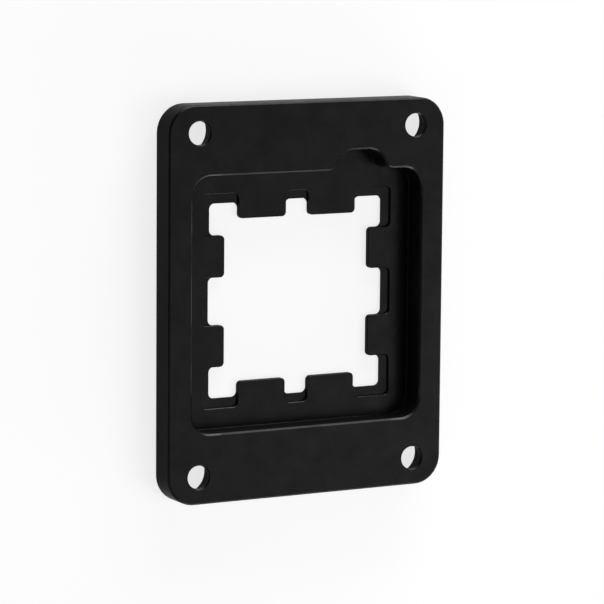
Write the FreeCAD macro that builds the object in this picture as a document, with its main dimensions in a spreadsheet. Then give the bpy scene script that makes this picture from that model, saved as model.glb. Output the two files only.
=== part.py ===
import FreeCAD, Part
import math
import os

import Sketcher

# CPU socket retention frame, milled from one aluminium plate.
# The plate lies on its smooth outer face, with the machined pocket side up.
# X is across the frame, Y along it, Z up. The origin is the middle of the outer face.

# Every size is in millimetres. The sizes run from the window outwards to the frame's edge.
SIZES = {
    # the window over the processor, from tab to tab, and the notches behind its edge
    "window_span": 29.3,
    "corner_notch_size": 5.7,
    "middle_notch_depth": 3.05,
    "end_tab_gap": 4.6,
    "side_tab_gap": 8.6,
    "tab_thickness": 1.1,
    "tab_radius": 0.8,
    "notch_radius": 1.0,
    "window_chamfer": 0.2,
    # the shallow step between the tabs, measured back from their tips
    "step_reach": 4.6,
    "step_depth": 0.5,
    "step_radius": 1.0,
    "edge_break": 0.1,
    # the pocket that drops over the socket, with a ledge of floor round the step
    "ledge_across": 3.9,
    "ledge_along": 3.7,
    "pocket_corner_radius": 3.6,
    "floor_fillet": 0.3,
    # the relief beside the pocket, blended into its end wall
    "relief_setback": 2.14,
    "relief_flat": 3.1,
    "relief_height": 3.6,
    "relief_corner_radius": 3.6,
    "relief_blend_radius": 1.9,
    # the plate round the pocket
    "frame_thickness": 5.5,
    "side_wall": 4.65,
    "end_wall": 12.55,
    "frame_corner_radius": 5.1,
    "rim_chamfer": 0.3,
    "outer_face_chamfer": 0.5,
    # the screw holes, with a counterbored seat in the outer face
    "bore_diameter": 4.2,
    "bore_chamfer": 0.2,
    "seat_diameter": 7.5,
    "seat_side_wall": 2.25,
    "seat_end_wall": 1.2,
    "seat_chamfer": 0.2,
    "screw_land": 0.85,
}

QUARTER_TURNS = 4
# A sketch knows its axes and the points of a line or an arc by number.
HORIZONTAL_AXIS, VERTICAL_AXIS = range(-1, -3, -1)
START, END, CENTRE = range(1, 4)
ORIGIN = (HORIZONTAL_AXIS, START)
NEAR = 0.001


class Size:
    """A length, with the formula that ties it to the sheet."""

    def __init__(self, value, formula):
        self.value = value
        self.formula = formula

    def __add__(self, other):
        return Size(self.value + other.value, f"{self.formula} + {other.formula}")

    def __sub__(self, other):
        return Size(self.value - other.value, f"{self.formula} - ({other.formula})")

    def __mul__(self, factor):
        return Size(self.value * factor, f"({self.formula}) * {factor}")

    def __truediv__(self, divisor):
        return Size(self.value / divisor, f"({self.formula}) / {divisor}")


doc = FreeCAD.newDocument("socket_frame")


def make_sheet():
    sheet = doc.addObject("Spreadsheet::Sheet", "sizes")
    for row, (name, value) in enumerate(SIZES.items(), start=1):
        sheet.set(f"A{row}", name)
        sheet.set(f"B{row}", str(value))
        sheet.setAlias(f"B{row}", name)
    doc.recompute()
    return sheet


sheet = make_sheet()


def size(name):
    return Size(float(sheet.get(name)), f"sizes.{name}")


# Spans reach from one side of the middle to the other.
TAB_SPAN = size("window_span")
CORNER_INNER_SPAN = size("window_span") - size("corner_notch_size")
CORNER_OUTER_SPAN = size("window_span") + size("corner_notch_size")
MIDDLE_NOTCH_SPAN = size("window_span") + size("middle_notch_depth") * 2
STEP_SPAN = size("window_span") + size("step_reach") * 2
POCKET_WIDTH = STEP_SPAN + size("ledge_across") * 2
POCKET_LENGTH = STEP_SPAN + size("ledge_along") * 2
FRAME_WIDTH = POCKET_WIDTH + size("side_wall") * 2
FRAME_LENGTH = POCKET_LENGTH + size("end_wall") * 2
SCREW_PITCH_ACROSS = FRAME_WIDTH - size("seat_diameter") - size("seat_side_wall") * 2
SCREW_PITCH_ALONG = FRAME_LENGTH - size("seat_diameter") - size("seat_end_wall") * 2

# Heights are above the outer face.
OUTER_FACE = Size(0, "0")
RIM = size("frame_thickness")
POCKET_FLOOR = size("tab_thickness")
STEP_FLOOR = size("tab_thickness") - size("step_depth")
POCKET_DEPTH = RIM - POCKET_FLOOR
SEAT_DEPTH = RIM - size("screw_land")


def origin_item(body, role):
    return next(item for item in body.Origin.OriginFeatures if item.Role == role)


def new_sketch(body, name, height=None):
    """An empty sketch on the outer face, or parallel to it at a height."""
    sketch = body.newObject("Sketcher::SketchObject", name)
    sketch.AttachmentSupport = [(origin_item(body, "XY_Plane"), "")]
    sketch.MapMode = "FlatFace"
    if height:
        sketch.setExpression(".AttachmentOffset.Base.z", height.formula)
    return sketch


def join(sketch, *constraints):
    for constraint in constraints:
        sketch.addConstraint(Sketcher.Constraint(*constraint))


def dimension(sketch, name, length, *constraint):
    """Add a named dimension and tie it to the sheet."""
    index = sketch.addConstraint(Sketcher.Constraint(*constraint, length.value))
    sketch.renameConstraint(index, name)
    sketch.setExpression(f"Constraints.{name}", length.formula)


def draw_line(sketch, x1, y1, x2, y2):
    line = Part.LineSegment(FreeCAD.Vector(x1, y1, 0), FreeCAD.Vector(x2, y2, 0))
    return sketch.addGeometry(line, False)


def draw_arc(sketch, x, y, radius, start, end):
    circle = Part.Circle(FreeCAD.Vector(x, y, 0), FreeCAD.Vector(0, 0, 1), radius)
    return sketch.addGeometry(Part.ArcOfCircle(circle, start, end), False)


def draw_box(sketch, left, bottom, right, top):
    """Four lines joined into an upright rectangle: bottom, right, top, left."""
    draw_line(sketch, left, bottom, right, bottom)
    draw_line(sketch, right, bottom, right, top)
    draw_line(sketch, right, top, left, top)
    draw_line(sketch, left, top, left, bottom)
    for line in range(4):
        join(sketch, ("Coincident", line, END, (line + 1) % 4, START))
    for line, direction in enumerate(("Horizontal", "Vertical", "Horizontal", "Vertical")):
        join(sketch, (direction, line))


def centred_rectangle(body, name, across, along, height=None):
    sketch = new_sketch(body, name, height)
    half_x = across.value / 2
    half_y = along.value / 2
    draw_box(sketch, -half_x, -half_y, half_x, half_y)
    join(sketch, ("Symmetric", 0, START, 1, END, *ORIGIN))
    dimension(sketch, "across", across, "DistanceX", 0, START, 0, END)
    dimension(sketch, "along", along, "DistanceY", 1, START, 1, END)
    return sketch


def corner_square(body, name, inner_span, outer_span, height):
    """A square at one corner of the window, between an inner and an outer span."""
    sketch = new_sketch(body, name, height)
    inner = inner_span / 2
    outer = outer_span / 2
    draw_box(sketch, inner.value, inner.value, outer.value, outer.value)
    dimension(sketch, "inner_x", inner, "DistanceX", *ORIGIN, 0, START)
    dimension(sketch, "inner_y", inner, "DistanceY", *ORIGIN, 0, START)
    dimension(sketch, "outer_x", outer, "DistanceX", *ORIGIN, 1, END)
    dimension(sketch, "outer_y", outer, "DistanceY", *ORIGIN, 1, END)
    return sketch


def screw_circles(body, name, diameter, height=None):
    """Four equal circles at the screw pitch, the first of them at +X and +Y."""
    sketch = new_sketch(body, name, height)
    half_x = SCREW_PITCH_ACROSS / 2
    half_y = SCREW_PITCH_ALONG / 2
    up = FreeCAD.Vector(0, 0, 1)
    for side, end in ((1, 1), (-1, 1), (-1, -1), (1, -1)):
        centre = FreeCAD.Vector(side * half_x.value, end * half_y.value, 0)
        sketch.addGeometry(Part.Circle(centre, up, diameter.value / 2), False)
    join(
        sketch,
        ("Equal", 0, 1),
        ("Equal", 0, 2),
        ("Equal", 0, 3),
        ("Symmetric", 0, CENTRE, 1, CENTRE, VERTICAL_AXIS),
        ("Symmetric", 0, CENTRE, 2, CENTRE, *ORIGIN),
        ("Symmetric", 0, CENTRE, 3, CENTRE, HORIZONTAL_AXIS),
    )
    dimension(sketch, "half_across", half_x, "DistanceX", *ORIGIN, 0, CENTRE)
    dimension(sketch, "half_along", half_y, "DistanceY", *ORIGIN, 0, CENTRE)
    dimension(sketch, "diameter", diameter, "Diameter", 0)
    return sketch


def relief_outline(body):
    """The relief: a flat top that falls to the pocket's end wall by an S-curve at each end."""
    sketch = new_sketch(body, "relief_outline", RIM)
    wall = POCKET_LENGTH / 2
    top = wall + size("relief_height")
    corner = size("relief_corner_radius")
    blend = size("relief_blend_radius")
    flat = size("relief_flat")
    near_end = POCKET_WIDTH / 2 - size("pocket_corner_radius") - size("relief_setback")

    # Where the two arcs of an S-curve touch, both are steepest.
    overlap = corner.value + blend.value - size("relief_height").value
    reach = math.sqrt((corner.value + blend.value) ** 2 - overlap**2)
    steepest = math.atan2(overlap, reach)
    upper_y = top.value - corner.value
    lower_y = wall.value + blend.value
    near_x = near_end.value
    flat_near_x = near_x - reach
    flat_far_x = flat_near_x - flat.value
    far_x = flat_far_x - reach

    flat_top = draw_line(sketch, flat_far_x, top.value, flat_near_x, top.value)
    near_corner = draw_arc(sketch, flat_near_x, upper_y, corner.value, steepest, math.pi / 2)
    near_blend = draw_arc(
        sketch, near_x, lower_y, blend.value, math.pi + steepest, 1.5 * math.pi
    )
    near_side = draw_line(sketch, near_x, wall.value, near_x, 0)
    middle = draw_line(sketch, near_x, 0, far_x, 0)
    far_side = draw_line(sketch, far_x, 0, far_x, wall.value)
    far_blend = draw_arc(
        sketch, far_x, lower_y, blend.value, 1.5 * math.pi, 2 * math.pi - steepest
    )
    far_corner = draw_arc(
        sketch, flat_far_x, upper_y, corner.value, math.pi / 2, math.pi - steepest
    )
    join(
        sketch,
        ("Tangent", flat_top, END, near_corner, END),
        ("Tangent", near_corner, START, near_blend, START),
        ("Coincident", near_blend, END, near_side, START),
        ("Coincident", near_side, END, middle, START),
        ("Coincident", middle, END, far_side, START),
        ("Coincident", far_side, END, far_blend, START),
        ("Tangent", far_blend, END, far_corner, END),
        ("Tangent", far_corner, START, flat_top, START),
        ("Horizontal", flat_top),
        ("Vertical", near_side),
        ("Vertical", far_side),
        ("Vertical", near_blend, CENTRE, near_blend, END),
        ("Vertical", far_blend, CENTRE, far_blend, START),
        ("Horizontal", near_blend, END, far_blend, START),
        ("PointOnObject", middle, START, HORIZONTAL_AXIS),
        ("PointOnObject", middle, END, HORIZONTAL_AXIS),
        ("Equal", near_corner, far_corner),
        ("Equal", near_blend, far_blend),
    )
    dimension(sketch, "corner", corner, "Radius", near_corner)
    dimension(sketch, "blend", blend, "Radius", near_blend)
    dimension(sketch, "flat", flat, "DistanceX", flat_top, START, flat_top, END)
    dimension(sketch, "top", top, "DistanceY", *ORIGIN, flat_top, START)
    dimension(sketch, "wall", wall, "DistanceY", *ORIGIN, near_blend, END)
    dimension(sketch, "near_end", near_end, "DistanceX", *ORIGIN, near_blend, END)
    return sketch


def volume(body):
    return 0.0 if body.Shape.isNull() else body.Shape.Volume


def finish_feature(body, feature, sign):
    """Make the feature the body's tip, and check that it added (1) or took away (-1) material."""
    before = volume(body)
    body.Tip = feature
    doc.recompute()
    change = volume(body) - before
    if change * sign <= 0:
        raise RuntimeError(f"{feature.Name} changed the volume by {change:.3f} mm3")
    return feature


def pad(body, sketch, name, length):
    feature = body.newObject("PartDesign::Pad", name)
    feature.Profile = sketch
    feature.setExpression("Length", length.formula)
    return finish_feature(body, feature, 1)


def cut(body, sketch, name, depth=None, upward=False):
    """Cut a sketch's outline down, or up, to a depth. With no depth it goes right through."""
    feature = body.newObject("PartDesign::Pocket", name)
    feature.Profile = sketch
    feature.Reversed = upward
    if depth:
        feature.setExpression("Length", depth.formula)
    else:
        feature.Type = "ThroughAll"
    return finish_feature(body, feature, -1)


def repeat_at_corners(body, feature, name):
    pattern = body.newObject("PartDesign::PolarPattern", name)
    pattern.Originals = [feature]
    pattern.Axis = (origin_item(body, "Z_Axis"), [""])
    pattern.Angle = 360
    pattern.Occurrences = QUARTER_TURNS
    return finish_feature(body, pattern, -1)


def edges_where(body, test):
    edges = enumerate(body.Tip.Shape.Edges, start=1)
    return [f"Edge{number}" for number, edge in edges if test(edge)]


def round_edges(body, name, edges, radius, sign):
    """Round edges. An outer corner loses material (-1) and an inner one gains it (1)."""
    base = body.Tip
    feature = body.newObject("PartDesign::Fillet", name)
    feature.Base = (base, edges)
    feature.setExpression("Radius", radius.formula)
    return finish_feature(body, feature, sign)


def break_edges(body, name, edges, width):
    base = body.Tip
    feature = body.newObject("PartDesign::Chamfer", name)
    feature.Base = (base, edges)
    feature.setExpression("Size", width.formula)
    return finish_feature(body, feature, -1)


def is_upright(edge):
    box = edge.BoundBox
    return box.XLength < NEAR and box.YLength < NEAR


def is_level(edge, height):
    box = edge.BoundBox
    return box.ZLength < NEAR and abs(box.ZMin - height.value) < NEAR


def level_edges(body, height):
    return edges_where(body, lambda edge: is_level(edge, height))


def window_edges(body, height):
    """Level edges of the window and its step, without those at the pocket's wall or further out."""
    limit = STEP_SPAN.value / 2 + NEAR

    def test(edge):
        box = edge.BoundBox
        reach = max(abs(box.XMin), abs(box.XMax), abs(box.YMin), abs(box.YMax))
        return is_level(edge, height) and reach < limit

    return edges_where(body, test)


def upright_edges(body, points, foot):
    """Upright edges that stand on one of the points, with their foot at a height."""

    def test(edge):
        box = edge.BoundBox
        if not is_upright(edge) or abs(box.ZMin - foot.value) > NEAR:
            return False
        return any(math.hypot(box.XMin - x, box.YMin - y) < NEAR for x, y in points)

    return edges_where(body, test)


def ring_edges(body, height, diameter):
    def test(edge):
        is_ring = is_level(edge, height) and edge.isClosed() and isinstance(edge.Curve, Part.Circle)
        return is_ring and abs(2 * edge.Curve.Radius - diameter.value) < NEAR

    return edges_where(body, test)


def mirrored(x_span, y_span):
    """The four corners of a rectangle about the origin."""
    x = x_span.value / 2
    y = y_span.value / 2
    return [(x, y), (-x, y), (-x, -y), (x, -y)]


def mill_plate(body):
    outline = centred_rectangle(body, "plate_outline", FRAME_WIDTH, FRAME_LENGTH)
    pad(body, outline, "plate", RIM)
    corners = mirrored(FRAME_WIDTH, FRAME_LENGTH)
    edges = upright_edges(body, corners, OUTER_FACE)
    round_edges(body, "plate_corners", edges, size("frame_corner_radius"), -1)


def mill_pocket(body):
    outline = centred_rectangle(body, "pocket_outline", POCKET_WIDTH, POCKET_LENGTH, RIM)
    cut(body, outline, "socket_pocket", POCKET_DEPTH)
    corners = mirrored(POCKET_WIDTH, POCKET_LENGTH)
    edges = upright_edges(body, corners, POCKET_FLOOR)
    round_edges(body, "pocket_corners", edges, size("pocket_corner_radius"), 1)
    cut(body, relief_outline(body), "relief", POCKET_DEPTH)


def break_plate_edges(body):
    """Round the foot of the pocket's wall, and chamfer both rims and the plate's outline."""
    foot = level_edges(body, POCKET_FLOOR)
    round_edges(body, "floor_fillet", foot, size("floor_fillet"), 1)
    break_edges(body, "rim_edges", level_edges(body, RIM), size("rim_chamfer"))
    outline = level_edges(body, OUTER_FACE)
    break_edges(body, "outer_face_edges", outline, size("outer_face_chamfer"))


def drill_screw_holes(body):
    bore = size("bore_diameter")
    seat = size("seat_diameter")
    cut(body, screw_circles(body, "bore_circles", bore, RIM), "screw_bores")
    seats = screw_circles(body, "seat_circles", seat)
    cut(body, seats, "screw_seats", SEAT_DEPTH, upward=True)
    break_edges(body, "bore_edges", ring_edges(body, RIM, bore), size("bore_chamfer"))
    break_edges(body, "seat_edges", ring_edges(body, OUTER_FACE, seat), size("seat_chamfer"))


def mill_window(body):
    """The window with a notch at each corner and between each pair of tabs."""
    for name, across, along in (
        ("window", TAB_SPAN, TAB_SPAN),
        ("end_notches", size("end_tab_gap"), MIDDLE_NOTCH_SPAN),
        ("side_notches", MIDDLE_NOTCH_SPAN, size("side_tab_gap")),
    ):
        outline = centred_rectangle(body, f"{name}_outline", across, along, POCKET_FLOOR)
        cut(body, outline, name)
    corner = corner_square(
        body, "corner_notch_outline", CORNER_INNER_SPAN, CORNER_OUTER_SPAN, POCKET_FLOOR
    )
    repeat_at_corners(body, cut(body, corner, "corner_notch"), "corner_notches")

    tab_corners = (
        mirrored(size("end_tab_gap"), TAB_SPAN)
        + mirrored(TAB_SPAN, size("side_tab_gap"))
        + mirrored(CORNER_INNER_SPAN, TAB_SPAN)
        + mirrored(TAB_SPAN, CORNER_INNER_SPAN)
    )
    notch_corners = (
        mirrored(size("end_tab_gap"), MIDDLE_NOTCH_SPAN)
        + mirrored(MIDDLE_NOTCH_SPAN, size("side_tab_gap"))
        + mirrored(CORNER_INNER_SPAN, CORNER_OUTER_SPAN)
        + mirrored(CORNER_OUTER_SPAN, CORNER_INNER_SPAN)
        + mirrored(CORNER_OUTER_SPAN, CORNER_OUTER_SPAN)
    )
    edges = upright_edges(body, tab_corners, OUTER_FACE)
    round_edges(body, "tab_corners", edges, size("tab_radius"), -1)
    edges = upright_edges(body, notch_corners, OUTER_FACE)
    round_edges(body, "notch_corners", edges, size("notch_radius"), 1)
    back_edges = window_edges(body, OUTER_FACE)
    break_edges(body, "window_back_edges", back_edges, size("window_chamfer"))


def mill_step(body):
    """The shallow step that runs round every notch and leaves the tabs at full thickness."""
    depth = size("step_depth")
    for name, across, along in (
        ("end_steps", size("end_tab_gap"), STEP_SPAN),
        ("side_steps", STEP_SPAN, size("side_tab_gap")),
    ):
        outline = centred_rectangle(body, f"{name}_outline", across, along, POCKET_FLOOR)
        cut(body, outline, name, depth)
    corner = corner_square(
        body, "corner_step_outline", CORNER_INNER_SPAN, STEP_SPAN, POCKET_FLOOR
    )
    repeat_at_corners(body, cut(body, corner, "corner_step", depth), "corner_steps")

    step_corners = (
        mirrored(size("end_tab_gap"), STEP_SPAN)
        + mirrored(STEP_SPAN, size("side_tab_gap"))
        + mirrored(CORNER_INNER_SPAN, STEP_SPAN)
        + mirrored(STEP_SPAN, CORNER_INNER_SPAN)
        + mirrored(STEP_SPAN, STEP_SPAN)
    )
    edges = upright_edges(body, step_corners, STEP_FLOOR)
    round_edges(body, "step_corners", edges, size("step_radius"), 1)
    floor_edges = window_edges(body, POCKET_FLOOR)
    break_edges(body, "step_edges", floor_edges, size("edge_break"))


def make_retention_frame():
    body = doc.addObject("PartDesign::Body", "retention_frame")
    body.Label = "retention_frame"
    mill_plate(body)
    mill_pocket(body)
    break_plate_edges(body)
    drill_screw_holes(body)
    mill_window(body)
    mill_step(body)
    return body


def check_document(bodies):
    doc.recompute()
    for item in doc.Objects:
        if "Invalid" in item.State or "Error" in item.State:
            raise RuntimeError(f"{item.Name} failed: {item.State}")
        if item.isDerivedFrom("Sketcher::SketchObject") and not item.FullyConstrained:
            raise RuntimeError(f"{item.Name} is not fully constrained")
    for body in bodies:
        if body.Shape.isNull() or not body.Shape.isValid():
            raise RuntimeError(f"{body.Label} has no valid shape")
        if len(body.Shape.Solids) != 1:
            raise RuntimeError(f"{body.Label} is {len(body.Shape.Solids)} solids")


bodies = [make_retention_frame()]
check_document(bodies)

os.makedirs("parts", exist_ok=True)
for body in bodies:
    body.Shape.exportStep(f"parts/{body.Label}.step")
    box = body.Shape.BoundBox
    print(f"{body.Label}: {box.XLength:.2f} x {box.YLength:.2f} x {box.ZLength:.2f} mm")
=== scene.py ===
import math

import bpy
from mathutils import Matrix, Vector

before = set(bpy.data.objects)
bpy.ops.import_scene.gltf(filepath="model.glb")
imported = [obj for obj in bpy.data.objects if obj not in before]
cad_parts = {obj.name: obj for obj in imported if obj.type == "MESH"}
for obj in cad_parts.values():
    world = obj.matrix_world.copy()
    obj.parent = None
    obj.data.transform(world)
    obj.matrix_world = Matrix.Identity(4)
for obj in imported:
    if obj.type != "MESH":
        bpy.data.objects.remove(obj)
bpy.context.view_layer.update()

MM = 0.001

# The camera: how the frame is turned away from it, as the photograph shows it.
TURN_YAW = math.radians(28.609)
TURN_PITCH = math.radians(7.2405)
TURN_ROLL = math.radians(3.3932)
CAMERA_TARGET = Vector((0.168, -0.812, 2.75)) * MM
CAMERA_DISTANCE = 601.65 * MM
CAMERA_LENS = 199.66
CAMERA_SENSOR = 36.0
CAMERA_NEAR = 0.01
CAMERA_FAR = 10.0

# The floor, just under the frame. Its glow is what the eye and reflections see, and 1 is white.
FLOOR_REACH = 3.0
FLOOR_HEIGHT = -0.02 * MM
FLOOR_LIT_COLOUR = (0.28, 0.28, 0.28, 1.0)
FLOOR_GLOW = 0.775

# The even light from all round.
WORLD_COLOUR = (1.0, 1.0, 1.0, 1.0)
WORLD_LEVEL = 0.10

# The soft boxes, which all face the frame: name, azimuth and elevation in degrees, width and
# height in metres, level.
LAMP_DISTANCE = 0.9
LAMPS = (
    ("back", 72, 12, 0.85, 0.32, 9.2),
    ("front", -55, 8, 1.15, 0.24, 11.0),
    ("above", -21, 46, 0.50, 0.50, 3.15),
    ("overhead", -15, 80, 0.50, 0.50, 1.4),
    ("left", 220, 32, 0.80, 0.45, 0.75),
)

# The anodised finish, on the faces and walls and on the broken edges. The tint sets how much of
# the light a surface returns at a flat angle.
BODY_COLOUR = (0.0092, 0.0092, 0.0092, 1.0)
EDGE_COLOUR = (0.0155, 0.0155, 0.0155, 1.0)
BODY_TINT = (0.56, 0.56, 0.56, 1.0)
EDGE_TINT = (0.70, 0.70, 0.70, 1.0)
SPECULAR_LEVEL = 0.1
ROUGHNESS = 0.38

# Painted highlight: the broken edges get a lighter colour still in the pocket's corners and along
# the step, to brighten their highlight lines.
PAINTED_HIGHLIGHT_EDGE_COLOUR = (0.029, 0.029, 0.029, 1.0)
CORNER_FROM = 17.5 * MM
STEP_FROM = 15.5 * MM
STEP_TOP = 1.12 * MM

# How far a surface looks up, from 0 for a wall to 1 for a face: an edge lies in between.
WALL_SLOPE = 0.22
EDGE_SLOPE_FROM = 0.42
EDGE_SLOPE_TO = 0.85
FACE_SLOPE = 0.97

# The pocket with the relief: its walls are rougher and duller, and the fillet at their foot isn't
# a broken edge.
POCKET_REACH_ACROSS = 23.6 * MM
POCKET_REACH_ALONG = 26.6 * MM
POCKET_WALL_ROUGHNESS = 0.55
POCKET_WALL_METAL = 0.45
FOOT_FROM = 1.12 * MM
FOOT_TO = 1.60 * MM

# Each noise: its middle value, and how it mixes its details where nothing else is said.
NOISE_MIDDLE = 0.5
NOISE_MIXING = 0.5

# Soft clouds, where the finish is rougher and darker. The noise is used from its low to its high.
CLOUD_SCALE = 200.0
CLOUD_DETAIL = 4.0
CLOUD_MIXING = 0.8
CLOUD_LOW = 0.3
CLOUD_HIGH = 0.7
CLOUD_RANGE = 0.035
CLOUD_SHADE = 0.11

# The fine grain that blasting leaves.
GRAIN_SCALE = 5200.0
GRAIN_DETAIL = 1.0
GRAIN_DEPTH = 0.010 * MM

# The turned rings on the walls of the screw holes and seats.
SEAT_ACROSS = 21.8 * MM
SEAT_ALONG = 30.55 * MM
SEAT_REACH = 4.0 * MM
SEAT_FROM = 0.1 * MM
SEAT_TO = 5.3 * MM
RING_STRETCH = (0.12, 0.12, 1.0)
RING_SCALE = 1900.0
RING_DETAIL = 2.0
RING_DEPTH = 0.35 * MM


def make_camera():
    """A camera that sees the lying frame as the photograph shows it."""
    turn = (
        Matrix.Rotation(TURN_YAW, 3, "Y")
        @ Matrix.Rotation(TURN_PITCH, 3, "X")
        @ Matrix.Rotation(TURN_ROLL, 3, "Z")
    )
    facing = turn.transposed()
    data = bpy.data.cameras.new("camera")
    data.sensor_width = CAMERA_SENSOR
    data.lens = CAMERA_LENS
    data.clip_start = CAMERA_NEAR
    data.clip_end = CAMERA_FAR
    camera = bpy.data.objects.new("camera", data)
    place = CAMERA_TARGET + facing @ Vector((0, 0, CAMERA_DISTANCE))
    camera.matrix_world = Matrix.Translation(place) @ facing.to_4x4()
    bpy.context.scene.collection.objects.link(camera)
    bpy.context.scene.camera = camera


def make_world():
    world = bpy.data.worlds.new("studio")
    world.use_nodes = True
    background = world.node_tree.nodes["Background"]
    background.inputs["Color"].default_value = WORLD_COLOUR
    background.inputs["Strength"].default_value = WORLD_LEVEL
    bpy.context.scene.world = world


def make_lamp(name, azimuth, elevation, width, height, level):
    """A soft box. Azimuth 0 is +X and 90 is +Y, seen from above."""
    data = bpy.data.lights.new(name, "AREA")
    data.shape = "RECTANGLE"
    data.size = width
    data.size_y = height
    data.energy = level * math.pi * width * height
    round_about = math.radians(azimuth)
    up = math.radians(elevation)
    direction = Vector((
        math.cos(up) * math.cos(round_about),
        math.cos(up) * math.sin(round_about),
        math.sin(up),
    ))
    lamp = bpy.data.objects.new(name, data)
    turn = direction.to_track_quat("Z", "Y").to_matrix().to_4x4()
    lamp.matrix_world = Matrix.Translation(direction * LAMP_DISTANCE) @ turn
    bpy.context.scene.collection.objects.link(lamp)


def add_node(tree, kind, settings=None, inputs=None):
    """Adds a node. An input is a plain value, or the output of another node to join to it."""
    made = tree.nodes.new(kind)
    for name, value in (settings or {}).items():
        setattr(made, name, value)
    for name, value in (inputs or {}).items():
        if isinstance(value, bpy.types.NodeSocket):
            tree.links.new(value, made.inputs[name])
        else:
            made.inputs[name].default_value = value
    return made


def add_math(tree, operation, first, second=None):
    inputs = {0: first}
    if second is not None:
        inputs[1] = second
    return add_node(tree, "ShaderNodeMath", {"operation": operation}, inputs).outputs[0]


def add_slope_ramp(tree, slope, body, edge):
    """The body's value on walls and faces, and the edge's value on the slopes between them."""
    made = add_node(tree, "ShaderNodeValToRGB", inputs={0: slope})
    stops = made.color_ramp.elements
    stops[0].position = WALL_SLOPE
    stops[0].color = body
    stops[1].position = FACE_SLOPE
    stops[1].color = body
    stops.new(EDGE_SLOPE_FROM).color = edge
    stops.new(EDGE_SLOPE_TO).color = edge
    return made.outputs["Color"]


def add_noise(tree, vector, scale, detail, mixing=NOISE_MIXING):
    inputs = {"Vector": vector, "Scale": scale, "Detail": detail, "Roughness": mixing}
    return add_node(tree, "ShaderNodeTexNoise", inputs=inputs).outputs[0]


def spread(tree, clouds, at_low, at_high):
    """The clouds' noise, brought to one value at its low and to another at its high."""
    return add_node(tree, "ShaderNodeMapRange", inputs={
        "Value": clouds,
        "From Min": CLOUD_LOW,
        "From Max": CLOUD_HIGH,
        "To Min": at_low,
        "To Max": at_high,
    }).outputs[0]


def between(tree, value, least, most):
    """1 where the value lies between the two limits, otherwise 0."""
    over = add_math(tree, "GREATER_THAN", value, least)
    under = add_math(tree, "LESS_THAN", value, most)
    return add_math(tree, "MULTIPLY", over, under)


def make_floor():
    """A pale floor that keeps the frame's shadow."""
    sides = ((-1, -1), (1, -1), (1, 1), (-1, 1))
    corners = [(x * FLOOR_REACH, y * FLOOR_REACH, FLOOR_HEIGHT) for x, y in sides]
    mesh = bpy.data.meshes.new("floor")
    mesh.from_pydata(corners, [], [(0, 1, 2, 3)])
    floor = bpy.data.objects.new("floor", mesh)
    bpy.context.scene.collection.objects.link(floor)

    material = bpy.data.materials.new("floor")
    material.use_nodes = True
    tree = material.node_tree
    tree.nodes.clear()
    path = add_node(tree, "ShaderNodeLightPath").outputs
    seen = add_math(tree, "MAXIMUM", path["Is Camera Ray"], path["Is Glossy Ray"])
    seen = add_math(tree, "MAXIMUM", seen, path["Is Transmission Ray"])
    glow_level = add_math(tree, "MULTIPLY", seen, FLOOR_GLOW)
    glow = add_node(tree, "ShaderNodeEmission", inputs={"Strength": glow_level})
    lit = add_node(tree, "ShaderNodeBsdfDiffuse", inputs={"Color": FLOOR_LIT_COLOUR})
    both = add_node(tree, "ShaderNodeAddShader", inputs={0: lit.outputs[0], 1: glow.outputs[0]})
    add_node(tree, "ShaderNodeOutputMaterial", inputs={"Surface": both.outputs[0]})
    mesh.materials.append(material)


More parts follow.
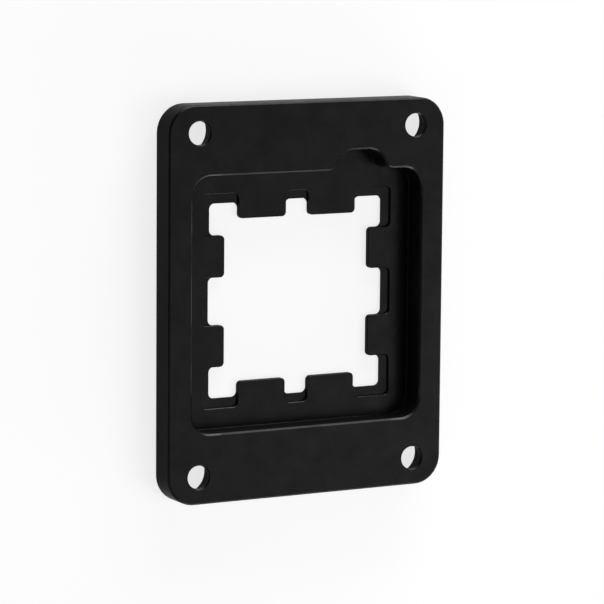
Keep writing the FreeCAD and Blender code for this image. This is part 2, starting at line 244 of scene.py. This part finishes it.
def make_anodised():
    """Black anodising on blasted aluminium: clouded, finely grained, lighter at the edges, and with
    painted highlights on the edges in the pocket's corners and along the step.
    """
    material = bpy.data.materials.new("anodised_aluminium")
    material.use_nodes = True
    tree = material.node_tree
    shader = tree.nodes["Principled BSDF"]
    shader.inputs["Specular IOR Level"].default_value = SPECULAR_LEVEL

    # Where a point lies, and how far its surface looks up.
    place = add_node(tree, "ShaderNodeTexCoord").outputs["Object"]
    spot = add_node(tree, "ShaderNodeSeparateXYZ", inputs={0: place}).outputs
    height = spot["Z"]
    from_middle_x = add_math(tree, "ABSOLUTE", spot["X"])
    from_middle_y = add_math(tree, "ABSOLUTE", spot["Y"])
    normal = add_node(tree, "ShaderNodeNewGeometry").outputs["Normal"]
    normal_parts = add_node(tree, "ShaderNodeSeparateXYZ", inputs={0: normal}).outputs
    upright = add_math(tree, "ABSOLUTE", normal_parts["Z"])
    in_pocket_x = add_math(tree, "LESS_THAN", from_middle_x, POCKET_REACH_ACROSS)
    in_pocket_y = add_math(tree, "LESS_THAN", from_middle_y, POCKET_REACH_ALONG)
    in_pocket = add_math(tree, "MULTIPLY", in_pocket_x, in_pocket_y)

    # Soft clouds in the colour and in the gloss.
    clouds = add_noise(tree, place, CLOUD_SCALE, CLOUD_DETAIL, CLOUD_MIXING)
    shade = spread(tree, clouds, 1 + CLOUD_SHADE, 1 - CLOUD_SHADE)
    gloss = spread(tree, clouds, ROUGHNESS - CLOUD_RANGE, ROUGHNESS + CLOUD_RANGE)

    # Broken edges are lighter. The fillet slopes too, but keeps the look of the body.
    at_foot = add_math(tree, "MULTIPLY", in_pocket, between(tree, height, FOOT_FROM, FOOT_TO))
    slope = add_math(tree, "MAXIMUM", upright, at_foot)
    tint = add_slope_ramp(tree, slope, BODY_TINT, EDGE_TINT)
    tree.links.new(tint, shader.inputs["Specular Tint"])

    # Painted highlight: the broken edges are coloured lighter still in the pocket's corners and
    # along the step, to brighten their highlight lines.
    corner_x = add_math(tree, "GREATER_THAN", from_middle_x, CORNER_FROM)
    corner_y = add_math(tree, "GREATER_THAN", from_middle_y, CORNER_FROM)
    corner_painted_highlight = add_math(tree, "MULTIPLY", add_math(tree, "MULTIPLY", corner_x, corner_y), in_pocket)
    from_middle = add_math(tree, "MAXIMUM", from_middle_x, from_middle_y)
    beyond_tabs = add_math(tree, "GREATER_THAN", from_middle, STEP_FROM)
    low = add_math(tree, "LESS_THAN", height, STEP_TOP)
    step_painted_highlight = add_math(tree, "MULTIPLY", add_math(tree, "MULTIPLY", beyond_tabs, low), in_pocket)
    colours_with_painted_highlight = add_node(tree, "ShaderNodeMixRGB", inputs={
        "Fac": add_math(tree, "MAXIMUM", corner_painted_highlight, step_painted_highlight),
        "Color1": add_slope_ramp(tree, slope, BODY_COLOUR, EDGE_COLOUR),
        "Color2": add_slope_ramp(tree, slope, BODY_COLOUR, PAINTED_HIGHLIGHT_EDGE_COLOUR),
    })
    clouded = add_node(tree, "ShaderNodeVectorMath", {"operation": "SCALE"}, {
        0: colours_with_painted_highlight.outputs[0],
        "Scale": shade,
    })
    tree.links.new(clouded.outputs[0], shader.inputs["Base Color"])

    # Rougher, duller walls in the pocket.
    is_wall = add_math(tree, "LESS_THAN", upright, WALL_SLOPE)
    pocket_wall = add_math(tree, "MULTIPLY", in_pocket, is_wall)
    rougher = add_math(tree, "MULTIPLY", pocket_wall, POCKET_WALL_ROUGHNESS - ROUGHNESS)
    tree.links.new(add_math(tree, "ADD", gloss, rougher), shader.inputs["Roughness"])
    duller = add_math(tree, "MULTIPLY", pocket_wall, 1 - POCKET_WALL_METAL)
    tree.links.new(add_math(tree, "SUBTRACT", 1.0, duller), shader.inputs["Metallic"])

    # Turned rings on the walls of the screw holes and seats.
    across = add_math(tree, "SUBTRACT", from_middle_x, SEAT_ACROSS)
    along = add_math(tree, "SUBTRACT", from_middle_y, SEAT_ALONG)
    across_square = add_math(tree, "MULTIPLY", across, across)
    along_square = add_math(tree, "MULTIPLY", along, along)
    square = add_math(tree, "ADD", across_square, along_square)
    near_axis = add_math(tree, "LESS_THAN", square, SEAT_REACH ** 2)
    in_seat = add_math(tree, "MULTIPLY", near_axis, between(tree, height, SEAT_FROM, SEAT_TO))
    stretched = add_node(tree, "ShaderNodeMapping", inputs={"Vector": place, "Scale": RING_STRETCH})
    rings = add_noise(tree, stretched.outputs[0], RING_SCALE, RING_DETAIL)
    off_middle = add_math(tree, "SUBTRACT", rings, NOISE_MIDDLE)
    ringed = add_node(tree, "ShaderNodeBump", inputs={
        "Distance": RING_DEPTH,
        "Height": add_math(tree, "MULTIPLY", off_middle, in_seat),
    })

    # The fine grain over everything.
    grained = add_node(tree, "ShaderNodeBump", inputs={
        "Distance": GRAIN_DEPTH,
        "Height": add_noise(tree, place, GRAIN_SCALE, GRAIN_DETAIL),
        "Normal": ringed.outputs[0],
    })
    tree.links.new(grained.outputs[0], shader.inputs["Normal"])
    return material


make_camera()
make_world()
for lamp in LAMPS:
    make_lamp(*lamp)
make_floor()
finish = make_anodised()
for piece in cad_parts.values():
    for slot in piece.material_slots:
        slot.material = finish
bpy.context.scene.view_settings.view_transform = "Standard"
